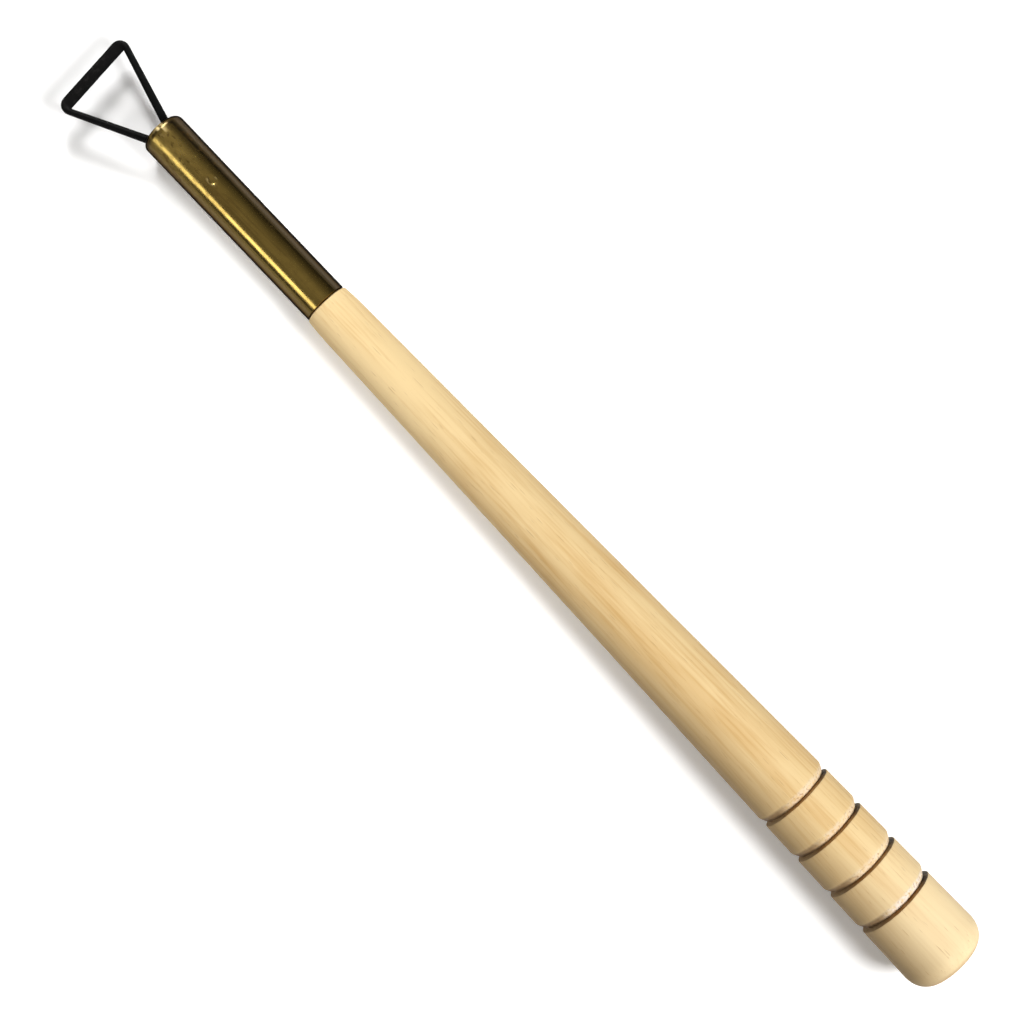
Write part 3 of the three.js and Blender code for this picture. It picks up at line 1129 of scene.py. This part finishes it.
@dataclass
class WireLoop:
    """The loop: two shanks in the handle, two legs, and a front bar that is hammered flat."""

    nose: float = 234.05
    wire_width: float = 1.8
    leg_tip_width: float = 1.4
    bar_width: float = 2.62
    bar_thickness: float = 1.0
    corner_near: Span = (18.35, -6.95)
    corner_far: Span = (16.9, 11.57)
    nose_near: float = -1.75
    nose_far: float = 3.1
    shank_spacing: float = 3.0
    shank_end: float = 200.85
    corner_outer: float = 2.1
    corner_inner: float = 0.1
    shank_bend: float = 2.0
    corner_steps: int = 20
    run_pitch: float = 0.35
    bar_squareness: float = 0.42
    lumps: Ripple = Ripple(0.02, 0.5, 0.5)
    bar_lumps: Ripple = Ripple(0.03, 0.9, 0.9)
    bar_plane: float = 10 / 3
    dent_depth: float = 0.06
    dent_steps: float = 0.8
    dent_spread: float = 2.0
    dent_seed: float = 7.0
    crease: float = math.radians(60)
    sides: int = 32
    finish: BlackenedSteel = BlackenedSteel()

    def centres(self) -> list[Vector]:
        """Give the corners of the wire's centre line.

        Returns:
            Points from the end of one shank to the end of the other, in the loop's plane.
        """
        side = self.shank_spacing / 2

        def bend(corner: Span, at_nose: float, y: float) -> Vector:
            """Find where a leg's line meets its shank's line."""
            return Vector((self.nose + corner[0] * (y - at_nose) / (corner[1] - at_nose), y))

        return [
            Vector((self.shank_end, -side)),
            bend(self.corner_near, self.nose_near, -side),
            Vector((self.nose + self.corner_near[0], self.corner_near[1])),
            Vector((self.nose + self.corner_far[0], self.corner_far[1])),
            bend(self.corner_far, self.nose_far, side),
            Vector((self.shank_end, side)),
        ]

    def corner(self, at: Vector, before: Vector, after: Vector, radius: float) -> list[Vector]:
        """Round off a corner.

        Args:
            at: The corner.
            before: The direction of the line that comes in.
            after: The direction of the line that goes out.
            radius: The radius of the arc.

        Returns:
            Points along the arc.
        """
        turn = math.atan2(before.x * after.y - before.y * after.x, before.dot(after))
        start = at - before * (radius * math.tan(abs(turn) / 2))
        side = math.copysign(1.0, turn)
        middle = start + Vector((-before.y, before.x)) * (side * radius)
        arm = start - middle
        found = []
        for step in range(self.corner_steps + 1):
            angle = turn * step / self.corner_steps
            found.append(middle + Vector((
                arm.x * math.cos(angle) - arm.y * math.sin(angle),
                arm.x * math.sin(angle) + arm.y * math.cos(angle),
            )))
        return found

    def edge(self, side: float) -> list[Vector]:
        """Trace one edge of the wire, seen from above.

        Args:
            side: 1 for the outer edge and -1 for the inner one.

        Returns:
            Points along the edge.
        """
        centres = self.centres()
        wire = self.wire_width / 2
        tip = self.leg_tip_width / 2
        bar = self.bar_width / 2
        halves = [(wire, wire), (wire, tip), (bar, bar), (tip, wire), (wire, wire)]
        edges = []
        for start, end, (first, last) in zip(centres, centres[1:], halves):
            run = (end - start).normalized()
            out = Vector((run.y, -run.x)) * side
            low = start + out * first
            high = end + out * last
            edges.append((low, high, (high - low).normalized()))
        loop = self.corner_outer if side > 0 else self.corner_inner
        bend = self.shank_bend - side * wire
        found = [edges[0][0]]
        for (low, _, along), (far, _, onward), radius in zip(edges, edges[1:], (bend, loop, loop, bend)):
            reach = (far.x - low.x) * onward.y - (far.y - low.y) * onward.x
            at = low + along * (reach / (along.x * onward.y - along.y * onward.x))
            found += self.corner(at, along, onward, radius)
        return found + [edges[-1][1]]

    def flatness(self) -> list[float]:
        """Say how flat the wire is at each point of its edges.

        Returns:
            A share from 0, round, to 1, flat.
        """
        found = [0.0]
        for before, after in ((0, 0), (0, 1), (1, 0), (0, 0)):
            for step in range(self.corner_steps + 1):
                found.append(smooth(before + (after - before) * step / self.corner_steps, 0, 1))
        return found + [0.0]

    def spaced(self) -> tuple[list[Vector], list[Vector], list[float]]:
        """Fill in the straight runs with more points.

        Returns:
            The outer edge, the inner edge and the flatness, point by point.
        """
        outer, inner, flat = self.edge(1), self.edge(-1), self.flatness()
        found: tuple[list[Vector], list[Vector], list[float]] = ([outer[0]], [inner[0]], [flat[0]])
        for i in range(1, len(outer)):
            steps = max(int((outer[i] - outer[i - 1]).length / self.run_pitch), 1)
            for step in range(1, steps + 1):
                share = step / steps
                found[0].append(outer[i - 1].lerp(outer[i], share))
                found[1].append(inner[i - 1].lerp(inner[i], share))
                found[2].append(flat[i - 1] + (flat[i] - flat[i - 1]) * share)
        return found

    def rings(self) -> tuple[np.ndarray, np.ndarray]:
        """Make the rings of the wire.

        Returns:
            The rings, and the flatness of each.
        """
        outer, inner, flat = self.spaced()
        rings = np.zeros((len(outer), self.sides, 3))
        for number, (out, back, share) in enumerate(zip(outer, inner, flat)):
            middle = (out + back) / 2
            across = out - middle
            height = self.wire_width / 2 * (1 - share) + self.bar_thickness / 2 * share
            square = 1 - self.bar_squareness * share
            lump = self.lumps.at(middle.x, middle.y, 0.0)
            lump -= share * abs(self.bar_lumps.at(middle.x, middle.y, self.bar_plane))
            along, sideways = middle.x * self.dent_steps, middle.y * self.dent_steps
            for side in range(self.sides):
                angle = 2 * math.pi * side / self.sides
                cosine, sine = math.cos(angle), math.sin(angle)
                wide = math.copysign(abs(cosine) ** square, cosine) * (1 + min(lump, 0.0))
                tall = math.copysign(abs(sine) ** square, sine)
                dent = wander(along, sideways + self.dent_spread * cosine, sine, self.dent_seed)
                rings[number, side] = (
                    middle.x + across.x * wide,
                    middle.y + across.y * wide,
                    (height - abs(self.dent_depth * share * dent)) * tall,
                )
        return rings, np.array(flat)

    def build(self, lie: Lie) -> None:
        """Build the loop and put it in its place.

        Args:
            lie: How the tool lies.
        """
        rings, flat = self.rings()
        skin = Skin("steel_loop", rings, marks={"flat": np.repeat(flat, self.sides)}, crease=self.crease)
        settle(skin.build(lie), "wire_loop", self.finish.material())


@dataclass
class Ferrule:
    """The brass tube: a rolled nose, pressed in around the wire, and a punch mark in its wall."""

    handle: Handle
    loop: WireLoop
    radius: float = 4.9
    bore_rings: tuple[float, ...] = (0.0, 0.3, 0.6, 0.9)
    nose_rounding: float = 1.6
    lip_steps: int = 12
    nose_steps: int = 24
    wall: float = 0.5
    edge_break: float = 0.12
    pitch: float = 0.6
    fine_pitch: float = 0.13
    last_gap: float = 0.4
    punch_from_nose: float = 16.0
    punch_angle: float = math.radians(6.7)
    punch_tip: float = 2.0
    punch_depth: float = 0.2
    punch_room: float = 2.4
    punch_reach: float = 2.0
    punch_squash: float = 0.72
    punch_skew: float = 0.3
    ragged: Ripple = Ripple(1.0, 1.1, 1.1, 3.0)
    burr_height: float = 0.03
    burr_offset: float = 0.05
    burr_width: float = 0.2
    burr_share: Span = (0.1, 1.8)
    # The next span paints a glint on the burr: how bright, and at most.
    burr_glint: Span = (0.6, 0.7)
    # The next values make bright patches on top of the nose, partly wear and partly painted highlight.
    rub_length: float = 3.0
    rub_full: float = 0.6
    rub_width: float = 0.95
    rub_patches: Ripple = Ripple(1.0, 0.9, 0.9, 31.0)
    rub_span: Span = (-0.25, 0.15)
    press: float = 0.06
    press_from: float = 5.0
    press_wire: Span = (6.0, 4.0)
    least_length: float = 1e-6
    sides: int = 192
    finish: AgedBrass = AgedBrass()

    @property
    def rear(self) -> float:
        """Give where the tube starts, clear of the handle's shoulder."""
        return self.handle.length + CLEARANCE

    @property
    def nose(self) -> float:
        """Give where the tube ends and the loop comes out."""
        return self.loop.nose

    @property
    def bore(self) -> float:
        """Give the inner radius, clear of the handle's tenon."""
        return self.handle.tenon_radius + CLEARANCE

    def stations(self) -> list[Station]:
        """Make the closed profile of the wall.

        Returns:
            Stations out along the bore, round the lip and back along the outside.
        """
        bend = self.nose - self.nose_rounding
        mouth = (bend, self.radius - self.nose_rounding)
        inner = self.nose_rounding - self.wall
        back = self.rear + self.edge_break
        found = [Station(self.rear + (bend - self.rear) * share, self.bore) for share in self.bore_rings]
        found += arc(mouth, (inner, inner), (QUARTER, 0.0), self.lip_steps)
        outside = arc(mouth, (self.nose_rounding, self.nose_rounding), (0.0, QUARTER), self.nose_steps)
        mark = self.nose - self.punch_from_nose
        x = bend
        while x > back + self.last_gap:
            x -= self.fine_pitch if abs(x - mark) < self.punch_room else self.pitch
            outside.append(Station(max(x, back), self.radius))
        outside.append(Station(back, self.radius))
        outside.append(Station(self.rear, self.radius - self.edge_break))
        return found + [spot._replace(outside=True) for spot in outside]

    def punch(self, rings: np.ndarray, stations: list[Station], wear_and_glint: np.ndarray) -> None:
        """Press the punch mark into the outside, with a burr around it whose bright glint is painted.

        Args:
            rings: The rings to change.
            stations: The profile that they were turned from.
            wear_and_glint: The share of bright metal at each point, to change.
        """
        place = self.nose - self.punch_from_nose
        depth = self.punch_tip - self.punch_depth
        reach = math.sqrt(self.punch_tip ** 2 - depth ** 2)
        least, ragged_share = self.burr_share
        glint, most = self.burr_glint
        for number, spot in enumerate(stations):
            if not spot.outside or abs(spot.x - place) > self.punch_room:
                continue
            for side in range(self.sides):
                _, y, z = rings[number, side]
                ragged = self.ragged.at(spot.x, y, z)
                around = (math.atan2(-y, z) - self.punch_angle) * spot.radius
                away = math.hypot(self.punch_squash * (spot.x - place), around)
                away *= 1 + self.punch_skew * ragged
                if away > self.punch_reach:
                    continue
                pit = math.sqrt(max(self.punch_tip ** 2 - away ** 2, 0.0)) - depth
                burr = math.exp(-((away - reach - self.burr_offset) / self.burr_width) ** 2)
                burr *= max(least + ragged_share * ragged, 0.0)
                shift = self.burr_height * burr - (max(pit, 0.0) if away < reach else 0.0)
                rings[number, side, 1:] *= 1 + shift / spot.radius
                # Painted glint: the burr is coloured bright.
                wear_and_glint[number, side] = min(glint * burr, most)

    def rub_and_highlight(self, rings: np.ndarray, stations: list[Station], wear_and_glint: np.ndarray) -> None:
        """Make the top of the nose bright in patches, partly rubbed metal and partly painted highlight.

        Args:
            rings: The rings of the wall.
            stations: The profile that they were turned from.
            wear_and_glint: The share of bright metal at each point, to change.
        """
        start, full = self.nose - self.rub_length, self.nose - self.rub_full * self.rub_length
        for number, spot in enumerate(stations):
            if not spot.outside or spot.x < start:
                continue
            for side in range(self.sides):
                _, y, z = rings[number, side]
                if z > 0:
                    patch = smooth(self.rub_patches.at(spot.x, y, z), *self.rub_span)
                    band = math.exp(-(y / self.rub_width) ** 2)
                    # Partly wear, partly painted highlight.
                    wear_and_glint[number, side] = band * smooth(spot.x, start, full) * patch

    def squeeze(self, rings: np.ndarray) -> None:
        """Press the lip away from the wire where they meet.

        Args:
            rings: The rings to change.
        """
        outer, inner, _ = self.loop.spaced()
        middles = [(a + b) / 2 for a, b in zip(outer, inner)]
        low, high = self.nose - self.press_wire[0], self.nose + self.press_wire[1]
        near = np.array([list(point) for point in middles if low < point.x < high])
        room = self.loop.wire_width / 2 + self.press
        for point in rings.reshape(-1, 3):
            if point[0] < self.nose - self.press_from:
                continue
            gaps = near - point[:2]
            closest = near[np.argmin((gaps ** 2).sum(axis=1))]
            away = point - np.array([closest[0], closest[1], 0.0])
            length = float(np.linalg.norm(away))
            if 0 < length < room:
                outward = np.array([0.0, away[1], away[2]])
                point += outward / max(float(np.linalg.norm(outward)), self.least_length) * (room - length)

    def build(self, lie: Lie) -> None:
        """Build the ferrule and put it in its place.

        Args:
            lie: How the tool lies.
        """
        stations = self.stations()
        rings = turned(stations, self.sides)
        wear_and_glint = np.zeros(rings.shape[:2])
        self.rub_and_highlight(rings, stations, wear_and_glint)
        self.punch(rings, stations, wear_and_glint)
        self.squeeze(rings)
        skin = Skin("brass_ferrule", rings, Ends.LOOPED, marks={"wear_and_glint": wear_and_glint})
        settle(skin.build(lie), "ferrule", self.finish.material())


@dataclass
class CementPlug:
    """The filler in the nose of the ferrule, around the wire."""

    ferrule: Ferrule
    sunk: float = 0.8
    core: float = 0.1
    edge_steps: int = 8
    face_rings: tuple[float, ...] = (0.85, 0.7, 0.55, 0.4, 0.25, 0.1, 0.03)
    grit: float = 0.12
    grit_steps: float = 0.9
    grit_plane: float = 1.0
    sides: int = 96
    finish: DarkCement = DarkCement()

    def build(self, lie: Lie) -> None:
        """Build the plug and put it in its place.

        Args:
            lie: How the tool lies.
        """
        tube = self.ferrule
        back, front = tube.handle.tenon_end + CLEARANCE, tube.nose - self.sunk
        radius, rounding = tube.bore - CLEARANCE, tube.nose_rounding
        bend, mouth = tube.nose - rounding, tube.radius - rounding
        stations = [Station(back, self.core), Station(back, radius)]
        stations += arc((bend, mouth), (front - bend, radius - mouth), (QUARTER, 0.0), self.edge_steps)
        stations += [Station(front, mouth * share) for share in self.face_rings]
        rings = turned(stations, self.sides)
        steps = self.grit_steps
        for point in rings.reshape(-1, 3):
            if point[0] > bend:
                point[0] -= self.grit * abs(wander(point[1] * steps, point[2] * steps, self.grit_plane))
        settle(Skin("nose_cement", rings).build(lie), "cement_plug", self.finish.material())


# Studio


@dataclass(frozen=True)
class SoftBox:
    """A rectangular lamp that faces a point on the surface."""

    name: str
    facing: Span
    towards: Point
    distance: float
    size: Span
    level: float

    def build(self) -> None:
        """Hang the lamp, point it and set its power by the light that it gives at the point that it faces."""
        lamp = bpy.data.lights.new(self.name, "AREA")
        lamp.shape = "RECTANGLE"
        lamp.size, lamp.size_y = self.size
        lamp.energy = self.level * (math.pi * self.distance) ** 2
        box = added(self.name, lamp)
        direction = Vector(self.towards).normalized()
        box.location = Vector((*self.facing, 0.0)) + direction * self.distance
        box.rotation_euler = direction.to_track_quat("Z", "Y").to_euler()
        box.visible_camera = False


@dataclass
class Studio:
    """The white sweep, the lamps and the camera straight above."""

    aim: Span = (0.11701, 0.0018)
    camera_height: float = 0.42395
    focal_pixels: float = 2050.0
    image_pixels: float = 1024.0
    sensor: float = 36.0
    nearest: float = 0.01
    tool_turn: float = math.radians(133.6)
    sweep_half: float = 3.0
    sweep_wall: float = 0.45
    sweep_drop: float = 0.00003
    sweep: WhiteSweep = WhiteSweep()
    sky: SoftSky = SoftSky()
    boxes: tuple[SoftBox, ...] = (
        SoftBox("key_box", (0.03, 0.0), (-0.66, -0.41, 1.0), 0.6, (0.19, 0.19), 0.93),
        SoftBox("loop_box", (0.24, 0.0), (1.13, -0.87, 1.0), 0.13, (0.03, 0.03), 1.28),
        SoftBox("strip_box", (0.19, 0.0), (0.0, 0.785, 0.62), 0.18, (0.17, 0.05), 0.35),
    )

    def build_camera(self) -> None:
        """Put the camera above the tool and make it the scene's."""
        lens = bpy.data.cameras.new("camera")
        lens.sensor_fit = "HORIZONTAL"
        lens.sensor_width = self.sensor
        lens.lens = self.focal_pixels / self.image_pixels * self.sensor
        lens.clip_start = self.nearest
        camera = added("camera", lens)
        camera.location = (*self.aim, self.camera_height)
        camera.rotation_euler = (0.0, 0.0, -self.tool_turn)
        bpy.context.scene.camera = camera

    def build_sweep(self) -> None:
        """Lay the white paper under the tool, and turn it up far around."""
        half = self.sweep_half
        corners = [(-half, -half), (half, -half), (half, half), (-half, half)]
        points = [(x, y, z) for z in (-self.sweep_drop, self.sweep_wall) for x, y in corners]
        walls = [(side, (side + 1) % 4, (side + 1) % 4 + 4, side + 4) for side in range(4)]
        mesh = bpy.data.meshes.new("sweep")
        mesh.from_pydata(points, [], [(0, 1, 2, 3), *walls])
        mesh.materials.append(self.sweep.material())
        added("sweep", mesh)

    def build(self) -> None:
        """Build the whole studio."""
        self.build_camera()
        self.build_sweep()
        bpy.context.scene.world = self.sky.world()
        for box in self.boxes:
            box.build()
        bpy.context.scene.view_settings.view_transform = "Standard"
        LOG.info("studio: %d lamps", len(self.boxes))


def main() -> None:
    """Build the studio and the tool, piece by piece."""
    logging.basicConfig(level=logging.INFO, format="%(name)s: %(message)s")
    Studio().build()
    lie = Lie.from_record(frame["record"])
    handle, loop = Handle(), WireLoop()
    ferrule = Ferrule(handle, loop)
    handle.build(lie)
    loop.build(lie)
    ferrule.build(lie)
    CementPlug(ferrule).build(lie)


if __name__ == "__main__":
    main()
